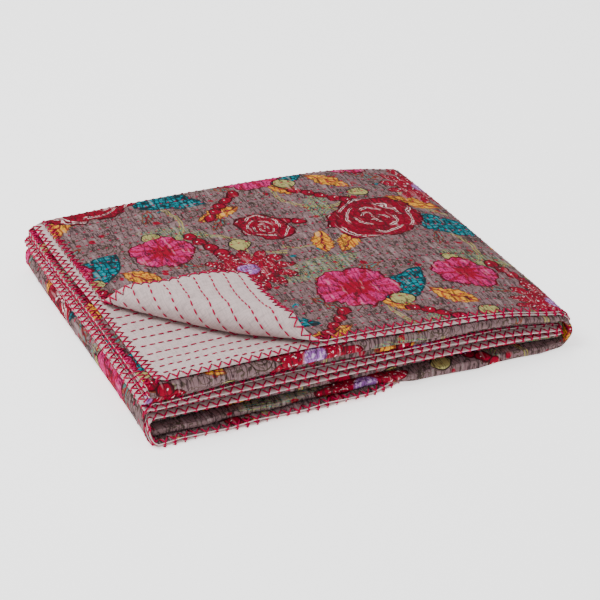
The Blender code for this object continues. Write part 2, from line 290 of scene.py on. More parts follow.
def round_corner(u, v):
    """Rounds the four corners of the flat sheet."""
    to_u = min(u, CLOTH_WIDTH - u)
    to_v = min(v, CLOTH_LENGTH - v)
    if min(to_u, to_v) < 0 or to_u >= CORNER_RADIUS or to_v >= CORNER_RADIUS:
        return u, v
    a = 1 - to_u / CORNER_RADIUS
    b = 1 - to_v / CORNER_RADIUS
    in_u = CORNER_RADIUS * (1 - a * sqrt(1 - b * b / 2))
    in_v = CORNER_RADIUS * (1 - b * sqrt(1 - a * a / 2))
    return (in_u if u < CLOTH_WIDTH / 2 else CLOTH_WIDTH - in_u,
            in_v if v < CLOTH_LENGTH / 2 else CLOTH_LENGTH - in_v)


def between_runs(path, s, values):
    """A value for each of the four runs, eased over the folds that join them."""
    index, share = path.place(s)
    if index % 2 == 0:
        return values[index // 2]
    before, after = values[index // 2], values[index // 2 + 1]
    return before + (after - before) * smooth(share)


def front_step(u, v):
    """How far the front edge or front fold of this layer steps back."""
    edges_a = [bundle.edge_a for bundle in BUNDLES]
    folds = [bundle.fold for bundle in BUNDLES]
    edges_b = [bundle.edge_b for bundle in BUNDLES]
    steps = [between_runs(ACROSS, u, values) for values in (edges_a, folds, folds, edges_b)]
    return between_runs(ALONG, v, steps)


def left_step(u, v):
    """How far the left edge or left fold of this layer steps right, at the front and at the back."""
    by_bundle = []
    for steps in (LEFT_TOP, LEFT_FOLDED, LEFT_FOLDED, LEFT_INNER):
        fronts = [steps[level].front for level in LEVEL_ORDER]
        backs = [steps[level].back for level in LEVEL_ORDER]
        by_bundle.append(Step(front=between_runs(ALONG, v, fronts), back=between_runs(ALONG, v, backs)))
    return Step(
        front=between_runs(ACROSS, u, [step.front for step in by_bundle]),
        back=between_runs(ACROSS, u, [step.back for step in by_bundle]))


def front_flare(u, v):
    """How much the front fold of the top bundle opens at a place, less and less towards the right."""
    index, share = ACROSS.place(u)
    if index > 1:
        return 0.0
    if index == 1:
        open_share = FRONT_ROLL_RIGHT * (1 - smooth(share))
    else:
        open_share = 1 - (1 - FRONT_ROLL_RIGHT) * smooth(u / ACROSS.run)
    reach_in = v if v <= ALONG.starts[1] else ALONG.fold(v, 0.0)[0]
    return FRONT_ROLL * open_share * (1 - smooth(reach_in / FRONT_ROLL_REACH))


def in_lowest(u):
    """1 in the lowest bundle, eased to 0 over the folds at its two ends."""
    return between_runs(ACROSS, u, (0.0, 1.0, 0.0, 0.0))


def low_droop(u, v, y):
    """How far the cloth sags at a place, which only the lowest bundle's front fold does."""
    layer = between_runs(ALONG, v, (0.0, LOW_DROOP_UPPER, 1.0, 0.0))
    return LOW_DROOP * in_lowest(u) ** 3 * layer * (1 - smooth(y / LOW_DROOP_REACH))


def settle(x, y, z):
    """Presses the stack to its own height at each place, and gives the layers long waves."""
    right = hold(x / (ACROSS.run + BUNDLE_PITCH))
    back = hold(y / ALONG.run)
    front_share = through([rise.front for rise in RISES], right)
    back_share = through([rise.back for rise in RISES], right)
    share = front_share * (1 - back) + back_share * back
    wave = sin(2 * pi * (x / SWAY_X + y / SWAY_Y))
    wave *= sin(2 * pi * (y / CROSS_SWAY_Y - x / CROSS_SWAY_X) + CROSS_SWAY_START)
    return z * share + SWAY * wave * smooth(z / DRAWN_HEIGHT)


def rumple(u, v, h):
    """How far the cloth stands up at a place: the ridges between rows and the puckers across them."""
    edge = min(u, CLOTH_WIDTH - u, v, CLOTH_LENGTH - v)
    inside = smooth(edge / ROW_PITCH)
    past = past_corner_fold(u, v)
    under = past_corner_fold(u, CLOTH_LENGTH - v)
    on_top = u < ACROSS.starts[1] and v < ALONG.starts[1]
    if on_top and h > 0:
        room = 1 - 0.8 * smooth((past + 0.02) / 0.02)
    elif on_top:
        room = smooth((past - 0.01) / 0.02)
    elif h < 0 and v > ALONG.starts[6] and u < ACROSS.starts[1]:
        room = smooth((under - 0.012) / 0.02)
    else:
        room = 0.0
    if room * inside == 0.0:
        return h
    sheet = quilt_settings().sheet
    between = sin(pi * v / ROW_PITCH) ** 2
    pucker = noise.noise(Vector((u * sheet.pucker_count, v * 26.0, 0.3)))
    pucker += 0.5 * noise.noise(Vector((u * sheet.pucker_count * 2.1, v * 60.0, 4.1)))
    rise = (ROW_RISE * between + sheet.pucker_height * pucker * (0.35 + 0.65 * between)) * inside * room
    return h + rise if h > 0 else h - rise


def carry(point, lift=0.0):
    """Carries a point of the flat sheet to its place in the folded quilt, before it is centred."""
    u, v, h = point
    edge = min(u, CLOTH_WIDTH - u, v, CLOTH_LENGTH - v)
    raised = rumple(u, v, h) - h
    h *= EDGE_TAPER + (1 - EDGE_TAPER) * smooth(edge / EDGE_BAND)
    h += raised + (lift if h > 0 else -lift)
    u, v = round_corner(u, v)
    back_step = front_step(u, v)
    side_step = left_step(u, v)
    flat_u, flat_v = u, v
    u, v, h = turn_corner(u, v, h)
    y, level = ALONG.fold(v, h, front_flare(u, v))
    x, z = ACROSS.fold(u, level)
    back_step += LOW_LEAN * in_lowest(flat_u) * (1 - hold(x / ACROSS.run))
    left_part = in_lowest(flat_u) * (1 - smooth((x / ACROSS.run - LOW_PART[0]) / LOW_PART[1]))
    z += DRAWN_HEIGHT / 2 - low_droop(flat_u, flat_v, y) * (1 - left_part)
    wave_place = back_step / FRONT_WAVE
    back_step += left_part * between_runs(ALONG, flat_v, (LOW_HEMS, LOW_TUCK, LOW_TUCK, LOW_HEMS))
    y += back_step * (1 - smooth(y / (EDGE_REACH * ALONG.run)))
    back = y / ALONG.run
    side = side_step.front + (side_step.back - side_step.front) * smooth(back)
    side *= 1 - smooth(x / (EDGE_REACH * ACROSS.run))
    draw = RIGHT_LEAN * hold(back) ** 3 + RIGHT_DRAW * (1 - smooth(y / RIGHT_DRAW_REACH))
    x += side + draw * smooth(x / ACROSS.run)
    wave = sin(2 * pi * (x / FRONT_WAVE_LENGTH + wave_place))
    y += FRONT_WAVE * wave * (1 - smooth(y / FRONT_WAVE_REACH))
    return Vector((x, y, settle(x, y, z)))


class SheetSettings(bpy.types.PropertyGroup):
    """Sizes of the folded sheet."""

    fine_step: FloatProperty(
        name="Fine step", description="Mesh step across the puckers of the top layer",
        default=0.0023, min=0.001, max=0.02, precision=4, unit="LENGTH")
    row_step: FloatProperty(
        name="Row step", description="Mesh step from front to back in the top layer",
        default=0.0040, min=0.001, max=0.02, precision=4, unit="LENGTH")
    inner_step: FloatProperty(
        name="Inner step", description="Mesh step in the layers under the top one",
        default=0.0200, min=0.004, max=0.05, precision=4, unit="LENGTH")
    pucker_height: FloatProperty(
        name="Pucker height", description="Height of the small wrinkles that the stitching draws up",
        default=0.0013, min=0.0, max=0.004, precision=4, unit="LENGTH")
    pucker_count: FloatProperty(
        name="Puckers", description="Wrinkles in a metre along a row", default=105.0, min=10.0, max=400.0)
    middle: FloatVectorProperty(
        name="Middle", description="Middle of the folded sheet, before it is centred on its solid",
        size=3, default=(0.0, 0.0, 0.0), subtype="TRANSLATION")


class PrintSettings(bpy.types.PropertyGroup):
    """Colours of the print and of the plain back cloth."""

    ground: FloatVectorProperty(
        name="Ground", description="Ground of the printed cloth", subtype="COLOR", size=3,
        min=0.0, max=1.0, default=(0.228, 0.138, 0.146))
    ink: FloatVectorProperty(
        name="Ink", description="Outlines of the print", subtype="COLOR", size=3,
        min=0.0, max=1.0, default=(0.012, 0.005, 0.006))
    crimson: FloatVectorProperty(
        name="Crimson", description="Roses, dahlias and berries", subtype="COLOR", size=3,
        min=0.0, max=1.0, default=(0.285, 0.001, 0.020))
    magenta: FloatVectorProperty(
        name="Magenta", description="Poppy petals", subtype="COLOR", size=3,
        min=0.0, max=1.0, default=(0.46, 0.004, 0.100))
    teal: FloatVectorProperty(
        name="Teal", description="Cones and stems", subtype="COLOR", size=3,
        min=0.0, max=1.0, default=(0.0, 0.150, 0.190))
    amber: FloatVectorProperty(
        name="Amber", description="Leaves", subtype="COLOR", size=3,
        min=0.0, max=1.0, default=(0.66, 0.215, 0.005))
    olive: FloatVectorProperty(
        name="Olive", description="Vines and buds", subtype="COLOR", size=3,
        min=0.0, max=1.0, default=(0.40, 0.36, 0.13))
    plain: FloatVectorProperty(
        name="Plain cloth", description="Undyed cotton of the back", subtype="COLOR", size=3,
        min=0.0, max=1.0, default=(0.60, 0.475, 0.465))


class StitchSettings(bpy.types.PropertyGroup):
    """Sizes and colour of the hand stitching."""

    stitch_pitch: FloatProperty(
        name="Stitch pitch", description="From one running stitch to the next",
        default=0.0072, min=0.003, max=0.03, precision=4, unit="LENGTH")
    back_length: FloatProperty(
        name="Stitch on the back", description="Length of a running stitch on the plain side",
        default=0.0048, min=0.001, max=0.02, precision=4, unit="LENGTH")
    face_length: FloatProperty(
        name="Stitch on the face", description="Length of a running stitch on the printed side",
        default=0.0025, min=0.001, max=0.02, precision=4, unit="LENGTH")
    thread_width: FloatProperty(
        name="Thread width", description="Width of a laid thread",
        default=0.0014, min=0.0002, max=0.004, precision=4, unit="LENGTH")
    hem_pitch: FloatProperty(
        name="Hem tooth", description="From one tooth of the hem stitch to the next",
        default=0.0084, min=0.003, max=0.03, precision=4, unit="LENGTH")
    hem_depth: FloatProperty(
        name="Hem depth", description="How far the hem stitch reaches in from the edge",
        default=0.0056, min=0.001, max=0.02, precision=4, unit="LENGTH")
    crimson: FloatVectorProperty(
        name="Thread", description="Colour of the thread", subtype="COLOR", size=3,
        min=0.0, max=1.0, default=(0.42, 0.003, 0.055))


class StageSettings(bpy.types.PropertyGroup):
    """Camera and lights."""

    lens: FloatProperty(
        name="Lens", description="Focal length of the camera", default=101.0, min=10.0, max=400.0,
        unit="CAMERA")
    distance: FloatProperty(
        name="Distance", description="From the camera to what it looks at", default=1.425,
        min=0.2, max=10.0, unit="LENGTH")
    elevation: FloatProperty(
        name="Elevation", description="Height of the camera over the horizon",
        default=radians(28.65), min=0.0, max=radians(90.0), subtype="ANGLE")
    azimuth: FloatProperty(
        name="Azimuth", description="How far the camera stands round to the right",
        default=radians(-23.16), min=radians(-180.0), max=radians(180.0), subtype="ANGLE")
    target: FloatVectorProperty(
        name="Target", description="What the camera looks at", size=3,
        default=(-0.0103, -0.0410, 0.03), subtype="TRANSLATION")


class QuiltSettings(bpy.types.PropertyGroup):
    """All settings of the quilt."""

    sheet: PointerProperty(type=SheetSettings)
    print: PointerProperty(type=PrintSettings)
    stitch: PointerProperty(type=StitchSettings)
    stage: PointerProperty(type=StageSettings)


def quilt_settings():
    """The settings that all the pieces read."""
    return bpy.context.scene.kantha_quilt


# Maths on the surface.


class Field:
    """A number or a colour that changes over the cloth, worked out by shader nodes."""

    def __init__(self, tree, socket):
        self.tree = tree
        self.socket = socket

    def node(self, kind, values, output=0, **options):
        """Makes a node, fills its inputs by name or number, and gives one of its outputs."""
        made = self.tree.nodes.new(kind)
        for option, value in options.items():
            setattr(made, option, value)
        for slot, value in values.items():
            if isinstance(value, Field):
                self.tree.links.new(value.socket, made.inputs[slot])
            else:
                made.inputs[slot].default_value = value
        return Field(self.tree, made.outputs[output])

    def maths(self, operation, *others, use_clamp=False):
        values = dict(enumerate((self, *others)))
        return self.node("ShaderNodeMath", values, operation=operation, use_clamp=use_clamp)

    def __add__(self, other):
        return self.maths("ADD", other)

    __radd__ = __add__

    def __sub__(self, other):
        return self.maths("SUBTRACT", other)

    def __rsub__(self, other):
        return self.times(-1.0, other)

    def __mul__(self, other):
        return self.maths("MULTIPLY", other)

    __rmul__ = __mul__

    def __truediv__(self, other):
        return self.maths("DIVIDE", other)

    def __pow__(self, power):
        return self.maths("POWER", power)

    def __abs__(self):
        return self.maths("ABSOLUTE")

    def times(self, factor, plus, use_clamp=False):
        """The field times a factor, plus something, in one node."""
        return self.maths("MULTIPLY_ADD", factor, plus, use_clamp=use_clamp)

    def sin(self):
        return self.maths("SINE")

    def root(self):
        return self.maths("SQRT")

    def whole(self):
        return self.maths("FLOOR")

    def part(self):
        return self.maths("FRACT")

    def least(self, other):
        return self.maths("MINIMUM", other)

    def most(self, other):
        return self.maths("MAXIMUM", other)

    def angle(self, x):
        return self.maths("ARCTAN2", x)

    def held(self):
        return self.maths("ADD", 0.0, use_clamp=True)

    def below(self, limit, blur):
        """1 where the field is below the limit, 0 where it is above, eased over the blur."""
        if isinstance(limit, Field):
            return (self - limit).below(0.0, blur)
        return self.times(-1 / blur, limit / blur + 0.5, use_clamp=True)

    def above(self, limit, blur):
        if isinstance(limit, Field):
            return (self - limit).above(0.0, blur)
        return self.times(1 / blur, 0.5 - limit / blur, use_clamp=True)

    def blend(self, other, share):
        """This colour, turned towards the other by the share."""
        return self.node(
            "ShaderNodeMix", {0: share, 6: self, 7: other}, output=2, data_type="RGBA", clamp_factor=True)


def tint(colour):
    return (*colour, 1.0)


def shade(colour, factor):
    return tuple(channel * factor for channel in colour)


class Cloth:
    """The flat cloth of a material, and the fields that its patterns share."""

    def __init__(self, name, roughness):
        self.material = bpy.data.materials.new(name)
        self.material.use_nodes = True
        self.tree = self.material.node_tree
        self.shader = self.tree.nodes["Principled BSDF"]
        self.shader.inputs["Roughness"].default_value = roughness
        self.shader.inputs["Specular IOR Level"].default_value = 0.08
        flat = self.tree.nodes.new("ShaderNodeUVMap")
        flat.uv_map = "cloth"
        self.flat = Field(self.tree, flat.outputs["UV"])
        self.u = self.flat.node("ShaderNodeSeparateXYZ", {0: self.flat}, output=0)
        self.v = self.flat.node("ShaderNodeSeparateXYZ", {0: self.flat}, output=1)

    def noise(self, u_count, v_count, detail=2.0, seed=0.0, roughness=0.5):
        """Noise with so many cells in a metre each way, from 0 to 1."""
        place = self.flat.node(
            "ShaderNodeCombineXYZ", {0: self.u.times(u_count, seed), 1: self.v.times(v_count, seed), 2: seed})
        return self.flat.node(
            "ShaderNodeTexNoise", {"Vector": place, "Scale": 1.0, "Detail": detail, "Roughness": roughness},
            output=0)

    def colour(self, value):
        self.tree.links.new(value.socket, self.shader.inputs["Base Color"])

    def bump(self, *layers):
        """Joins bump layers, each a height field and the distance that a height of 1 stands up."""
        normal = None
        for height, distance in layers:
            values = {"Height": height, "Distance": distance, "Strength": 1.0}
            if normal is not None:
                values["Normal"] = normal
            normal = self.flat.node("ShaderNodeBump", values)
        self.tree.links.new(normal.socket, self.shader.inputs["Normal"])


REPEAT_WIDTH = 0.232
REPEAT_LENGTH = 0.250
DROP = 0.125      # each column of the print starts half a repeat lower
BLUR = 0.0005     # softness of a printed edge
OUTLINE = 0.0007


class Motif:
    """A place on the print, with distances and the angle about its middle, the same in each repeat."""

    def __init__(self, u, v, at, turn=0.0):
        across = (u - at[0]).maths("WRAP", 1.5 * REPEAT_WIDTH, -0.5 * REPEAT_WIDTH)
        second = across.maths("GREATER_THAN", REPEAT_WIDTH / 2)
        across = second.times(-REPEAT_WIDTH, across)
        down = second.times(DROP, v - at[1]).maths("WRAP", REPEAT_LENGTH / 2, -REPEAT_LENGTH / 2)
        self.x = across.times(cos(turn), down * sin(turn))
        self.y = down.times(cos(turn), across * -sin(turn))

    def polar(self):
        radius = (self.x * self.x + self.y * self.y).root()
        return radius, self.y.angle(self.x)


def inked(base, colour, ink, distance, line=OUTLINE):
    """Lays a shape over the print: the colour where distance is under 0, with an ink line round it."""
    lined = base.blend(ink, distance.below(line, BLUR))
    return lined.blend(colour, distance.below(-line, BLUR))


def poppy(base, motif, size, colours, wobble, streaks):
    """A frilled poppy with streaked petals and a crimson heart."""
    radius, angle = motif.polar()
    lobes = abs((angle * 2.5 + 0.6).sin())
    frill = (angle * 23.0 + wobble * 9.0).sin() * 0.018
    rim = (lobes ** 0.5 * 0.17 + 0.83 + frill + (wobble - 0.5) * 0.25) * size
    streak = ((angle * 46.0 + streaks * 14.0).sin() * 0.5 + 0.5) * (radius / size)
    petal = colours["magenta_field"].blend(tint((0.66, 0.07, 0.26)), streak * 0.8)
    rays = (angle * 11.0 + streaks * 7.0).sin() * 0.5 + 0.5
    petal = petal.blend(tint(colours["crimson"]), (rays.above(0.80, 0.2) * 0.9).held())
    heart = radius.below((rays * 0.22 + 0.30) * size, 0.002)
    petal = petal.blend(tint(colours["crimson"]), heart)
    return inked(base, petal, tint(shade(colours["crimson"], 0.35)), radius - rim, 0.0009)


def rose(base, motif, size, colours, wobble, streaks):
    """A cabbage rose: crimson, with pale wobbling lines along the edges of its petals."""
    stretch = (motif.x * motif.x * 0.72 + motif.y * motif.y * 1.3).root()
    angle = motif.y.angle(motif.x)
    lobes = abs((angle * 3.0 + 0.4).sin())
    rim = (lobes ** 0.6 * 0.13 + 0.86 + (wobble - 0.5) * 0.22) * size
    rings = stretch / size * 4.6 + (angle * 2.0 + stretch * 70.0).sin() * 0.42 + wobble * 1.1
    layer = rings.whole()
    line = abs(rings.part() - 0.5)
    broken = (angle * 3.0 + layer * 2.4).sin().above(-0.15, 0.4) * streaks.above(0.40, 0.1)
    dark = tint(shade(colours["crimson"], 0.42))
    petal = colours["crimson_field"].blend(dark, (streaks.above(0.52, 0.16) * 0.65).held())
    petal = petal.blend(dark, line.below(0.10, 0.12) * 0.8)
    pale = (line - 0.10).below(0.055, 0.03) * line.above(0.07, 0.03)
    petal = petal.blend(tint((0.80, 0.62, 0.60)), pale * broken)
    return inked(base, petal, tint(shade(colours["crimson"], 0.20)), stretch - rim, 0.0010)


def dahlia(base, motif, size, colours, wobble, streaks):
    """A many-petalled dahlia with white-flecked petals and a purple heart."""
    radius, angle = motif.polar()
    petals = abs((angle * 6.5).sin())
    rim = (petals ** 0.8 * 0.40 + 0.60 + (wobble - 0.5) * 0.15) * size
    inner = abs((angle * 6.5 + 1.57).sin())
    inner_rim = (inner ** 0.7 * 0.22 + 0.46) * size
    fleck = streaks.above(0.61, 0.05) * radius.above(size * 0.35, 0.004)
    petal = colours["crimson_field"].blend(tint((0.84, 0.66, 0.66)), fleck * 0.8)
    petal = petal.blend(tint(shade(colours["crimson"], 0.3)), petals.below(0.20, 0.12))
    ring = radius - inner_rim
    petal = petal.blend(tint(shade(colours["crimson"], 0.3)), abs(ring).below(OUTLINE, BLUR))
    near = colours["crimson_field"].blend(tint((0.84, 0.66, 0.66)), streaks.above(0.62, 0.05))
    petal = petal.blend(near, ring.below(-OUTLINE, BLUR) * inner.above(0.12, 0.1))
    heart = radius.below(size * 0.24, 0.002)
    petal = petal.blend(tint((0.28, 0.10, 0.36)), heart)
    petal = petal.blend(tint((0.62, 0.40, 0.66)), heart * streaks.above(0.56, 0.08))
    return inked(base, petal, tint(shade(colours["crimson"], 0.25)), radius - rim, 0.0009)


def cone(base, motif, length, width, colours, scales):
    """A teal cone of overlapping scales, pointed at one end, with small red dots."""
    along = (motif.x / length + 0.5).held()
    half = ((along ** 0.62 * pi).sin().most(0.0) ** 0.75) * width
    distance = (abs(motif.y) - half).most(abs(motif.x) - length * 0.5)
    edge, dot = scales
    body = colours["teal_field"].blend(tint((0.0, 0.30, 0.36)), dot.below(0.42, 0.3) * 0.6)
    body = body.blend(tint((0.004, 0.022, 0.030)), edge.below(0.085, 0.07))
    body = body.blend(tint((0.42, 0.01, 0.06)), dot.below(0.12, 0.05) * 0.8)
    return inked(base, body, tint(shade(colours["teal"], 0.25)), distance, 0.0009)


def leaf(base, motif, length, width, colours, streaks):
    """A pointed amber leaf with a dark red rib."""
    along = motif.x / (length * 0.5)
    half = (1.0 - along * along) * width * (1.0 + (motif.x * 900.0).sin() * 0.10)
    distance = abs(motif.y) - half
    ribbed = abs((abs(motif.y) * 1.2 + motif.x) * 620.0).sin()
    body = colours["amber_field"].blend(tint((0.82, 0.46, 0.05)), streaks)
    stained = (ribbed.above(0.66, 0.3) * 0.8).most(streaks.above(0.60, 0.08))
    body = body.blend(tint((0.30, 0.03, 0.012)), stained)
    rib = abs(motif.y + (motif.x * 500.0).sin() * 0.0008).below(0.0009, 0.0008)
    body = body.blend(tint((0.18, 0.01, 0.02)), rib)
    return inked(base, body, tint((0.16, 0.05, 0.02)), distance, 0.0006)


def berries(base, motif, count, spacing, size, colours):
    """A row of red berries on a stalk, each with a pale glint."""
    stalk = abs(motif.y).below(0.0006, BLUR) * abs(motif.x).below(count * spacing * 0.55, 0.001)
    base = base.blend(tint((0.10, 0.03, 0.02)), stalk)
    number = (motif.x / spacing + 0.5).whole()
    number = number.most(-(count // 2)).least(count // 2)
    x = motif.x - number * spacing
    radius = (x * x * 0.65 + motif.y * motif.y).root()
    glint = ((x - 0.0012) * (x - 0.0012) * 3.0 + (motif.y - 0.0014) * (motif.y - 0.0014)).root()
    berry = colours["crimson_field"].blend(tint((0.85, 0.70, 0.70)), glint.below(0.0010, 0.0006))
    return inked(base, berry, tint(shade(colours["crimson"], 0.2)), radius - size, 0.0007)


def bud(base, motif, size, colours, scribble):
    """A round pale bud with netted lines."""
    radius = (motif.x * motif.x + motif.y * motif.y * 1.4).root()
    body = colours["olive_field"].blend(tint((0.20, 0.17, 0.06)), scribble.above(0.60, 0.1) * 0.7)
    return inked(base, body, tint(colours["ink"]), radius - size, 0.0006)


def arc(base, motif, radius, span, colour, gap=0.0014, line=0.0005):
    """A double line bent round part of a circle, as a vine's stem."""
    distance, angle = motif.polar()
    lines = abs(abs(distance - radius) - gap)
    here = abs(angle).below(span, 0.02)
    inside = abs(distance - radius).below(gap, BLUR) * here
    base = base.blend(tint((0.19, 0.15, 0.12)), inside * 0.5)
    return base.blend(colour, lines.below(line, BLUR) * here)


def curl(base, motif, size, colour):
    """A small coiled tendril."""
    radius, angle = motif.polar()
    winding = abs((radius / 0.0042 - angle / (2 * pi)).part() - 0.5)
    return base.blend(colour, winding.below(0.12, 0.12) * radius.below(size, 0.002))


def frond(base, motif, length, width, colours, streaks):
    """A loose plume of green and teal strokes."""
    along = motif.x / (length * 0.5)
    half = (1.0 - along * along) * width
    strokes = ((motif.y * 2000.0 + motif.x * 1100.0 + streaks * 14.0).sin()).above(0.42, 0.2)
    here = (abs(motif.y) - half).below(0.0, 0.004)
    green = colours["olive_field"].blend(tint((0.02, 0.22, 0.09)), streaks.above(0.5, 0.3))
    green = green.blend(tint((0.0, 0.22, 0.20)), streaks.above(0.56, 0.1))
    return base.blend(green, strokes * here)


def printed_cotton():
    """The face cloth: a mauve-taupe ground with flowers, cones, leaves, berries and vines."""
    colours = {name: tuple(getattr(quilt_settings().print, name))
               for name in ("ground", "ink", "crimson", "magenta", "teal", "amber", "olive")}
    cloth = Cloth("printed cotton", 0.86)
    wobble = cloth.noise(70.0, 70.0, 2.0, 3.0)
    slow = cloth.noise(24.0, 24.0, 2.0, 8.0)
    streaks = cloth.noise(330.0, 330.0, 3.0, 5.0, 0.6)
    u = cloth.u + (slow - 0.5) * 0.012 + (wobble - 0.5) * 0.0030
    v = cloth.v + (cloth.noise(26.0, 26.0, 2.0, 21.0) - 0.5) * 0.012 + (wobble - 0.5) * 0.0030
    warped = cloth.flat.node("ShaderNodeCombineXYZ", {0: u, 1: v, 2: 0.0})
    edge = cloth.flat.node(
        "ShaderNodeTexVoronoi", {"Vector": warped, "Scale": 190.0, "Randomness": 0.6},
        feature="DISTANCE_TO_EDGE")
    dot = cloth.flat.node("ShaderNodeTexVoronoi", {"Vector": warped, "Scale": 190.0, "Randomness": 0.6})
    wide = slow * 0.0 + 1.0
    for name in ("crimson", "magenta", "teal", "amber", "olive"):
        colours[name + "_field"] = wide.node(
            "ShaderNodeMix", {0: (cloth.noise(90.0, 90.0, 2.0, 2.0) - 0.5) * 1.6 + 0.3,
                              6: tint(colours[name]), 7: tint(shade(colours[name], 0.72))},
            output=2, data_type="RGBA", clamp_factor=True)

    def at(place, turn=0.0):
        return Motif(u, v, place, turn)

    ground = wide.node(
        "ShaderNodeMix", {0: (cloth.noise(40.0, 40.0, 3.0, 1.0) - 0.5) * 2.0 + 0.5,
                          6: tint(colours["ground"]), 7: tint(shade(colours["ground"], 0.78))},
        output=2, data_type="RGBA", clamp_factor=True)
    scribble = cloth.noise(150.0, 150.0, 1.5, 12.0)
    patches = cloth.noise(34.0, 34.0, 1.0, 15.0)
    lines = abs(scribble - 0.5).below(0.030, 0.02) * patches.above(0.46, 0.08)
    look = ground.blend(tint((0.060, 0.045, 0.030)), lines * 0.9)
    lines = abs(cloth.noise(120.0, 120.0, 1.5, 31.0) - 0.5).below(0.022, 0.015)
    look = look.blend(tint((0.10, 0.065, 0.055)), lines * patches.below(0.50, 0.08) * 0.8)
    bits = cloth.flat.node("ShaderNodeTexVoronoi", {"Vector": warped, "Scale": 78.0, "Randomness": 1.0})
    chance = cloth.flat.node(
        "ShaderNodeTexVoronoi", {"Vector": warped, "Scale": 78.0, "Randomness": 1.0}, output=1)
    chance = chance.node("ShaderNodeSeparateXYZ", {0: chance}, output=0)
    fleck = bits.below(0.24, 0.05)
    look = look.blend(colours["crimson_field"], fleck * chance.below(0.22, 0.02))
    look = look.blend(colours["teal_field"], fleck * chance.above(0.93, 0.02))
    olive = tint((0.36, 0.31, 0.08))
    for place, turn, radius, span in (
            ((0.060, 0.010), 0.4, 0.052, 1.5), ((0.150, 0.120), 2.6, 0.050, 1.6),
            ((0.020, 0.150), 4.2, 0.038, 1.4), ((0.205, 0.215), 5.4, 0.050, 1.3),
            ((0.110, 0.190), 1.0, 0.034, 1.7)):
        look = arc(look, at(place, turn), radius, span, olive)
    for place in (
            (0.088, 0.152), (0.196, 0.036), (0.030, 0.232),
            (0.126, 0.018), (0.188, 0.176), (0.218, 0.130)):
        look = curl(look, at(place), 0.012, tint((0.055, 0.038, 0.026)))
    look = frond(look, at((0.190, 0.124), 0.3), 0.096, 0.018, colours, streaks)
    look = frond(look, at((0.100, 0.232), -0.5), 0.070, 0.014, colours, streaks)
    look = frond(look, at((0.010, 0.118), 1.3), 0.060, 0.012, colours, streaks)
    sprig = dict(colours)
    sprig["amber_field"] = colours["teal_field"]
    for place, turn, length in (
            ((0.168, 0.060), 2.2, 0.034), ((0.232, 0.112), 0.4, 0.030), ((0.088, 0.026), 1.2, 0.030),
            ((0.084, 0.172), -0.4, 0.032), ((0.142, 0.238), 0.9, 0.028)):
        look = leaf(look, at(place, turn), length, 0.0045, sprig, streaks * 0.2)
    for place, turn, length, width in (
            ((0.006, 0.040), 0.9, 0.052, 0.0105), ((0.102, 0.106), -0.5, 0.054, 0.0110),
            ((0.044, 0.164), 2.3, 0.048, 0.0095), ((0.150, 0.008), 0.3, 0.050, 0.0100),
            ((0.214, 0.170), 1.3, 0.046, 0.0090), ((0.226, 0.036), -0.9, 0.040, 0.0085)):
        look = leaf(look, at(place, turn), length, width, colours, streaks)
    for place, turn, count in (
            ((0.158, 0.022), 0.8, 5), ((0.022, 0.136), -0.7, 5),
            ((0.118, 0.196), 1.9, 5), ((0.200, 0.222), 2.7, 3)):
        look = berries(look, at(place, turn), count, 0.0135, 0.0056, colours)
    look = cone(look, at((0.116, 0.050), -0.55), 0.074, 0.0190, colours, (edge, dot))
    look = cone(look, at((0.014, 0.196), 0.75), 0.068, 0.0175, colours, (edge, dot))
    for place, size in (
            ((0.232, 0.046), 0.0105), ((0.060, 0.132), 0.0095),
            ((0.142, 0.192), 0.0105), ((0.076, 0.236), 0.0085)):
        look = bud(look, at(place), size, colours, scribble)
    look = rose(look, at((0.178, 0.216), 2.1), 0.0260, colours, wobble, streaks)
    look = poppy(look, at((0.076, 0.204), 2.2), 0.0290, colours, wobble, streaks)
    look = poppy(look, at((0.204, 0.078), 0.5), 0.0360, colours, wobble, streaks)
    look = dahlia(look, at((0.132, 0.142), 0.2), 0.0420, colours, wobble, streaks)
    look = rose(look, at((0.050, 0.078), 0.4), 0.0440, colours, wobble, streaks)

    # Painted shade darkens the print in thin lines across the rows, in the creases of the puckers, and a
    # painted highlight makes the crests of the puckers paler.
    pucker = cloth.noise(230.0, 34.0, 2.0, 40.0, 0.5)
    fold = cloth.noise(110.0, 22.0, 2.0, 44.0)
    look = look.blend(tint((0.020, 0.010, 0.012)), abs(pucker - 0.5).below(0.022, 0.026) * 0.78)
    look = look.blend(tint((0.66, 0.53, 0.53)), pucker.above(0.64, 0.06) * 0.20)
    # Painted shade: the print is darker along each row of running stitch, in the dip where the stitches pull
    # the cloth down between its ridges.
    row = abs((cloth.v / ROW_PITCH + 0.5).part() - 0.5)
    look = look.blend(tint((0.04, 0.02, 0.02)), row.below(0.045, 0.08) * 0.30)
    cloth.colour(look)
    weave = (cloth.u * 2 * pi * 1450.0).sin() * (cloth.v * 2 * pi * 1450.0).sin()
    cloth.bump((fold, 0.0022), (pucker, 0.0020), (weave, 0.00005))
    return cloth.material


def plain_cotton():
    """The back cloth: undyed cotton, soft and slightly uneven."""
    cloth = Cloth("plain cotton", 0.92)
    plain = tuple(quilt_settings().print.plain)
    mottle = cloth.noise(60.0, 60.0, 4.0, 6.0, 0.6)
    slub = cloth.noise(900.0, 120.0, 2.0, 9.0)
    cross = cloth.noise(120.0, 900.0, 2.0, 19.0)
    base = mottle.node(
        "ShaderNodeMix", {0: mottle, 6: tint(shade(plain, 0.88)), 7: tint(shade(plain, 1.12))},
        output=2, data_type="RGBA", clamp_factor=True)
    base = base.blend(tint(shade(plain, 0.55)), (slub.above(0.58, 0.2) * 0.45).held())
    base = base.blend(tint(shade(plain, 0.58)), (cross.above(0.58, 0.2) * 0.45).held())
    cloth.colour(base)
    fold = cloth.noise(120.0, 60.0, 2.0, 44.0)
    cloth.bump((fold, 0.0008), (mottle, 0.0005), (slub + cross, 0.00018))
    return cloth.material


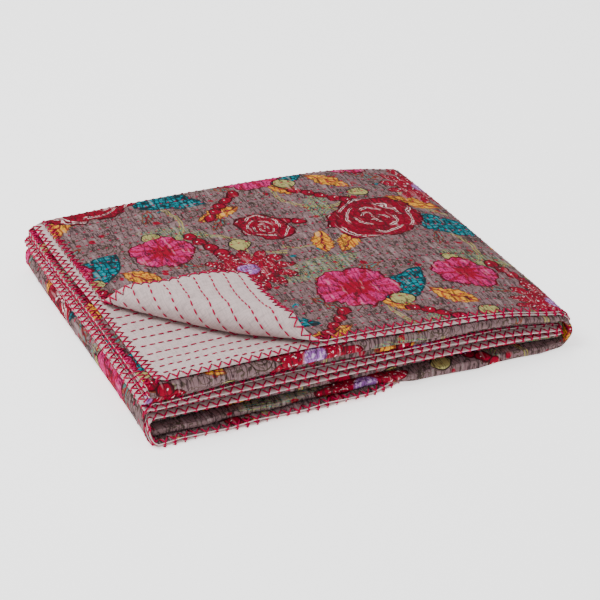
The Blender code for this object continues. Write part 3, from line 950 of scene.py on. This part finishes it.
def crimson_thread():
    """Stranded cotton, with the strands turning along the stitch."""
    colour = tuple(quilt_settings().stitch.crimson)
    cloth = Cloth("crimson thread", 0.62)
    twist = ((cloth.u * 2 * pi * 620.0) + cloth.v * 2 * pi).sin() * 0.5 + 0.5
    patch = cloth.noise(70.0, 70.0, 2.0, 6.0)
    # Painted shade and painted highlight: darker and lighter copies of the thread colour follow the twist, as
    # the grooves and crowns of the strands; the patch noise adds an uneven tone of its own.
    base = twist.node(
        "ShaderNodeMix", {0: twist * 0.7 + patch * 0.3,
                          6: tint(shade(colour, 0.62)), 7: tint(shade(colour, 1.25))},
        output=2, data_type="RGBA", clamp_factor=True)
    cloth.colour(base)
    cloth.bump((twist, 0.00012))
    return cloth.material


# The pieces.


def steps_between(start, end, step):
    """Evenly spaced values after the start, up to the end, about a step apart."""
    count = max(1, round((end - start) / step))
    return [start + (end - start) * number / count for number in range(1, count + 1)]


def grid_lines(path, length, fine, inner, turn_steps, fine_end=0.0):
    """Where the mesh is cut along one side of the sheet: fine in the first run and near the far edge."""
    lines = [0.0]
    for index in range(7):
        start, end = path.starts[index], path.starts[index + 1]
        if index == 0:
            lines += steps_between(start, end, fine)
        elif index == 6 and fine_end:
            lines += steps_between(start, end - fine_end, inner)
            lines += steps_between(end - fine_end, end, fine)
        elif index % 2 == 1:
            lines += steps_between(start, end, (end - start) / turn_steps[index // 2])
        else:
            lines += steps_between(start, end, inner)
    last = [EDGE_BAND, EDGE_BAND / 2, CORNER_RADIUS, CORNER_RADIUS / 1.6]
    wanted = [*last, *(length - value for value in last)]
    for value in wanted:
        if min(abs(line - value) for line in lines) > 0.0007:
            lines.append(value)
    return sorted(lines)


def flat_slab(lines_u, lines_v):
    """Corners, faces and flat places of a closed slab with a grid on both sides."""
    across = len(lines_u)
    per_side = across * len(lines_v)
    flat = [(u, v, side) for side in (PRINTED, PLAIN) for v in lines_v for u in lines_u]
    faces = []
    for row in range(len(lines_v) - 1):
        for column in range(across - 1):
            near = row * across + column
            top = (near, near + 1, near + 1 + across, near + across)
            faces.append(top)
            faces.append(tuple(per_side + corner for corner in reversed(top)))
    rim = list(range(across))
    rim += [row * across + across - 1 for row in range(1, len(lines_v))]
    rim += [per_side - 1 - column for column in range(1, across)]
    rim += [row * across for row in range(len(lines_v) - 2, 0, -1)]
    for here, there in zip(rim, [*rim[1:], rim[0]]):
        faces.append((here, here + per_side, there + per_side, there))
    return flat, faces


def seat(points):
    """Moves folded points to where the quilt's solid stands, and keeps them off the ground."""
    middle = Vector(quilt_settings().sheet.middle)
    seated = [point - middle for point in points]
    for point in seated:
        point.z = max(point.z, 0.0)
    return seated


def on_print(u, v):
    """Where a place lies on the print, which runs on evenly round the wide front fold."""
    turned = hold((v - ALONG.starts[3]) / (ALONG.starts[4] - ALONG.starts[3]))
    return u, v + (pi * front_flare(u, 0.0) + LOW_DROOP * in_lowest(u)) * turned


def make_piece(name, points, faces, flat, materials, pick):
    """Makes an object whose mesh carries its place on the flat cloth as a UV map."""
    data = bpy.data.meshes.new(name)
    data.from_pydata(points, [], faces)
    for material in materials:
        data.materials.append(material)
    cloth_map = data.uv_layers.new(name="cloth")
    corners = [0] * len(data.loops)
    data.loops.foreach_get("vertex_index", corners)
    spots = []
    for corner in corners:
        spots += flat[corner][:2]
    cloth_map.data.foreach_set("uv", spots)
    data.polygons.foreach_set("material_index", [pick(face) for face in faces])
    data.shade_smooth()
    data.validate()
    piece = bpy.data.objects.new(name, data)
    bpy.context.scene.collection.objects.link(piece)
    return piece


class KANTHA_OT_sheet(bpy.types.Operator):
    """Folds the quilt's one sheet, printed on one side and plain on the other"""

    bl_idname = "kantha.sheet"
    bl_label = "Folded Sheet"

    def execute(self, context):
        sheet = quilt_settings().sheet
        lines_u = grid_lines(ACROSS, CLOTH_WIDTH, sheet.fine_step, sheet.inner_step, (12, 8, 6))
        lines_v = grid_lines(
            ALONG, CLOTH_LENGTH, sheet.row_step, sheet.inner_step, (7, 8, 6), CORNER_LEG_V)
        for cut in LOW_CUTS:
            lines_v += [ALONG.starts[3] - cut, ALONG.starts[4] + cut]
        flat, faces = flat_slab(lines_u, sorted(lines_v))
        points = [carry(point) for point in flat]
        low = [min(point[axis] for point in points) for axis in range(3)]
        high = [max(point[axis] for point in points) for axis in range(3)]
        sheet.middle = ((low[0] + high[0]) / 2, (low[1] + high[1]) / 2, low[2])
        per_side = len(flat) // 2

        def pick(face):
            return 0 if max(face) < per_side else 1

        spots = [on_print(u, v) for u, v, _ in flat]
        quilt = make_piece(
            "quilt_sheet", seat(points), faces, spots, (printed_cotton(), plain_cotton()), pick)
        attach(quilt, "root")
        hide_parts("quilt")
        return {"FINISHED"}


def laid_thread(length, width, sides=6):
    """One laid stitch along X, modelled as a flattened rod with tapered ends: its points and faces."""
    bpy.ops.object.select_all(action="DESELECT")
    bpy.ops.mesh.primitive_cylinder_add(
        vertices=sides, radius=width / 2, depth=length, end_fill_type="TRIFAN",
        rotation=(0.0, pi / 2, 0.0))
    rod = bpy.context.active_object
    bpy.ops.object.transform_apply(location=True, rotation=True, scale=True)
    mesh = bmesh.new()
    mesh.from_mesh(rod.data)
    long_edges = [edge for edge in mesh.edges
                  if abs(edge.verts[0].co.x - edge.verts[1].co.x) > length / 2]
    bmesh.ops.subdivide_edges(mesh, edges=long_edges, cuts=2)
    for vert in mesh.verts:
        end = abs(vert.co.x) / (length / 2)
        squeeze = 1.0 if end < 0.9 else 0.55
        vert.co.y *= squeeze
        vert.co.z *= 0.62 * squeeze
        if end > 0.9 and hypot(vert.co.y, vert.co.z) > 1e-6:
            vert.co.x *= 0.93
    mesh.verts.index_update()
    bmesh.ops.recalc_face_normals(mesh, faces=list(mesh.faces))
    points = [vert.co.copy() for vert in mesh.verts]
    faces = [tuple(vert.index for vert in face.verts) for face in mesh.faces]
    mesh.free()
    bpy.data.objects.remove(rod)
    return points, faces


def stitch_places(side, keep):
    """Where the running stitches lie that show on one side: the middle of each on the flat sheet."""
    pitch = quilt_settings().stitch.stitch_pitch
    shift = 0.0 if side == PRINTED else 0.5
    places = []
    for row in range(1, int(CLOTH_LENGTH / ROW_PITCH) + 1):
        v = row * ROW_PITCH
        wander = 0.25 * sin(row * 2.3)
        for number in range(int(CLOTH_WIDTH / pitch)):
            u = (number + shift + wander) * pitch
            loose = noise.noise(Vector((u * 31.0, v * 17.0, 2.0)))
            if 0.008 < u < CLOTH_WIDTH - 0.008 and keep(u, v):
                places.append((u, v + 0.0012 * loose, loose))
    return places


class KANTHA_OT_running_stitches(bpy.types.Operator):
    """Sews the rows of running stitch that show on both sides of the sheet"""

    bl_idname = "kantha.running_stitches"
    bl_label = "Running Stitches"

    def execute(self, context):
        stitch = quilt_settings().stitch

        def shows_printed(u, v):
            along, across = ALONG.place(v)[0], ACROSS.place(u)[0]
            on_top = across == 0 and along == 0 and past_corner_fold(u, v) < 0.006
            return on_top or across in (1, 3) or along in (1, 3)

        def shows_plain(u, v):
            turned = past_corner_fold(u, v) > 0.004
            under = ALONG.place(v)[0] == 6 and past_corner_fold(u, CLOTH_LENGTH - v) > -0.02
            return turned or under and ACROSS.place(u)[0] == 0

        points, faces, flat = [], [], []
        for side, length, keep in (
                (PRINTED, stitch.face_length, shows_printed), (PLAIN, stitch.back_length, shows_plain)):
            unit, unit_faces = laid_thread(length, stitch.thread_width)
            lift = 0.0002 if side > 0 else 0.0006
            for u, v, loose in stitch_places(side, keep):
                first = len(points)
                longer = 1.0 + 0.35 * loose
                for at in unit:
                    bend = at.y + 0.18 * loose * at.x
                    points.append(carry((u + at.x * longer, v + bend, side), lift + at.z))
                    flat.append((u + at.x * longer, at.y * 300.0))
                turn = 1 if side > 0 else -1
                faces += [tuple(first + corner for corner in face[::turn]) for face in unit_faces]
        piece = make_piece(
            "running_stitches", seat(points), faces, flat, (crimson_thread(),), lambda face: 0)
        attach(piece, "root")
        return {"FINISHED"}


def hem_tooth(pitch, depth):
    """One tooth of the hem stitch: its middle line runs from the edge in and back, as X, inset, lift."""
    return ((0.0, -0.0004, 0.0), (0.30 * pitch, 0.55 * depth, 0.0002), (0.50 * pitch, depth, 0.0),
            (0.70 * pitch, 0.55 * depth, 0.0002), (pitch, -0.0004, 0.0))


def hem_point(edge, s, inset, side):
    """A point on the flat sheet at s along a hem and so far in from it."""
    if edge == 0:
        return s, inset, side
    if edge == 1:
        return CLOTH_WIDTH - inset, s, side
    if edge == 2:
        return CLOTH_WIDTH - s, CLOTH_LENGTH - inset, side
    return inset, CLOTH_LENGTH - s, side


def tube(path, radius, sides=5):
    """Points and faces of a thin tube along a path of points, open at both ends."""
    points, faces = [], []
    for number, point in enumerate(path):
        before = path[max(number - 1, 0)]
        after = path[min(number + 1, len(path) - 1)]
        ahead = (after - before).normalized()
        aside = ahead.orthogonal().normalized()
        over = ahead.cross(aside)
        for step in range(sides):
            angle = 2 * pi * step / sides
            points.append(point + (aside * cos(angle) + over * sin(angle)) * radius)
    for ring in range(len(path) - 1):
        for step in range(sides):
            here = ring * sides + step
            there = ring * sides + (step + 1) % sides
            faces.append((here, there, there + sides, here + sides))
    faces.append(tuple(range(sides - 1, -1, -1)))
    last = (len(path) - 1) * sides
    faces.append(tuple(range(last, last + sides)))
    return points, faces


class KANTHA_OT_hem_stitches(bpy.types.Operator):
    """Sews the toothed overcast stitch along the four hems, on both sides"""

    bl_idname = "kantha.hem_stitches"
    bl_label = "Hem Stitches"

    def execute(self, context):
        stitch = quilt_settings().stitch
        points, faces, flat = [], [], []
        for edge, length in enumerate((CLOTH_WIDTH, CLOTH_LENGTH, CLOTH_WIDTH, CLOTH_LENGTH)):
            count = round(length / stitch.hem_pitch)
            pitch = length / count
            for side in (PRINTED, PLAIN):
                for number in range(count):
                    loose = noise.noise(Vector((number * 0.7, edge * 9.0, side * 4000.0)))
                    depth = stitch.hem_depth * (1.0 + 0.30 * loose)
                    start = number * pitch
                    path = []
                    for x, inset, lift in hem_tooth(pitch, depth):
                        flat_point = hem_point(edge, start + x * (1 + 0.10 * loose), inset, side)
                        path.append(carry(flat_point, 0.00025 + lift))
                    first = len(points)
                    found, found_faces = tube(path, stitch.thread_width / 2)
                    points += found
                    flat += [(start + 0.0016 * (index // 5), index % 5 * 0.2) for index in range(len(found))]
                    faces += [tuple(first + corner for corner in face) for face in found_faces]
        piece = make_piece("hem_stitches", seat(points), faces, flat, (crimson_thread(),), lambda face: 0)
        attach(piece, "root")
        return {"FINISHED"}


def studio_cloth():
    material = bpy.data.materials.new("studio floor")
    material.use_nodes = True
    shader = material.node_tree.nodes["Principled BSDF"]
    shader.inputs["Base Color"].default_value = (0.93, 0.93, 0.93, 1.0)
    shader.inputs["Roughness"].default_value = 0.9
    shader.inputs["Emission Color"].default_value = (1.0, 1.0, 1.0, 1.0)
    shader.inputs["Emission Strength"].default_value = 1.3
    return material


class KANTHA_OT_stage(bpy.types.Operator):
    """Sets the floor, the lights and the camera"""

    bl_idname = "kantha.stage"
    bl_label = "Stage"

    def execute(self, context):
        stage = quilt_settings().stage
        bpy.ops.object.select_all(action="DESELECT")
        bpy.ops.mesh.primitive_plane_add(size=12.0, location=(0.0, 0.0, -0.0005))
        floor = bpy.context.active_object
        floor.name = "studio_floor"
        floor.data.materials.append(studio_cloth())
        aim = Vector(stage.target)
        for name, place, size, power in (
                ("key", (-0.9, 0.2, 1.7), 1.0, 34.0), ("fill", (1.4, -1.4, 1.3), 1.6, 6.0),
                ("back", (0.5, 1.5, 1.5), 1.4, 14.0)):
            light = bpy.data.lights.new(name, "AREA")
            light.shape = "SQUARE"
            light.size = size
            light.energy = power
            lamp = bpy.data.objects.new(name, light)
            lamp.location = place
            lamp.rotation_euler = (aim - lamp.location).to_track_quat("-Z", "Y").to_euler()
            context.scene.collection.objects.link(lamp)
        world = bpy.data.worlds.new("studio")
        world.use_nodes = True
        world.node_tree.nodes["Background"].inputs["Color"].default_value = (1.0, 1.0, 1.0, 1.0)
        world.node_tree.nodes["Background"].inputs["Strength"].default_value = 0.62
        context.scene.world = world
        camera = bpy.data.objects.new("camera", bpy.data.cameras.new("camera"))
        camera.data.lens = stage.lens
        camera.data.sensor_width = 36.0
        away = Vector((sin(stage.azimuth) * cos(stage.elevation),
                       -cos(stage.azimuth) * cos(stage.elevation), sin(stage.elevation)))
        camera.location = aim + away * stage.distance
        camera.rotation_euler = (-away).to_track_quat("-Z", "Y").to_euler()
        context.scene.collection.objects.link(camera)
        context.scene.camera = camera
        return {"FINISHED"}


class KANTHA_PT_quilt(bpy.types.Panel):
    """Lists the steps that build the quilt"""

    bl_label = "Kantha Quilt"
    bl_idname = "KANTHA_PT_quilt"
    bl_space_type = "VIEW_3D"
    bl_region_type = "UI"
    bl_category = "Kantha"

    def draw(self, context):
        layout = self.layout
        for operator in OPERATORS:
            layout.operator(operator.bl_idname)


OPERATORS = (KANTHA_OT_sheet, KANTHA_OT_running_stitches, KANTHA_OT_hem_stitches, KANTHA_OT_stage)
CLASSES = (
    SheetSettings, PrintSettings, StitchSettings, StageSettings, QuiltSettings, *OPERATORS,
    KANTHA_PT_quilt)


def register():
    for item in CLASSES:
        bpy.utils.register_class(item)
    bpy.types.Scene.kantha_quilt = PointerProperty(type=QuiltSettings)


def unregister():
    del bpy.types.Scene.kantha_quilt
    for item in reversed(CLASSES):
        bpy.utils.unregister_class(item)


def main():
    register()
    bpy.ops.kantha.sheet()
    bpy.ops.kantha.running_stitches()
    bpy.ops.kantha.hem_stitches()
    bpy.ops.kantha.stage()


if __name__ == "__main__":
    main()
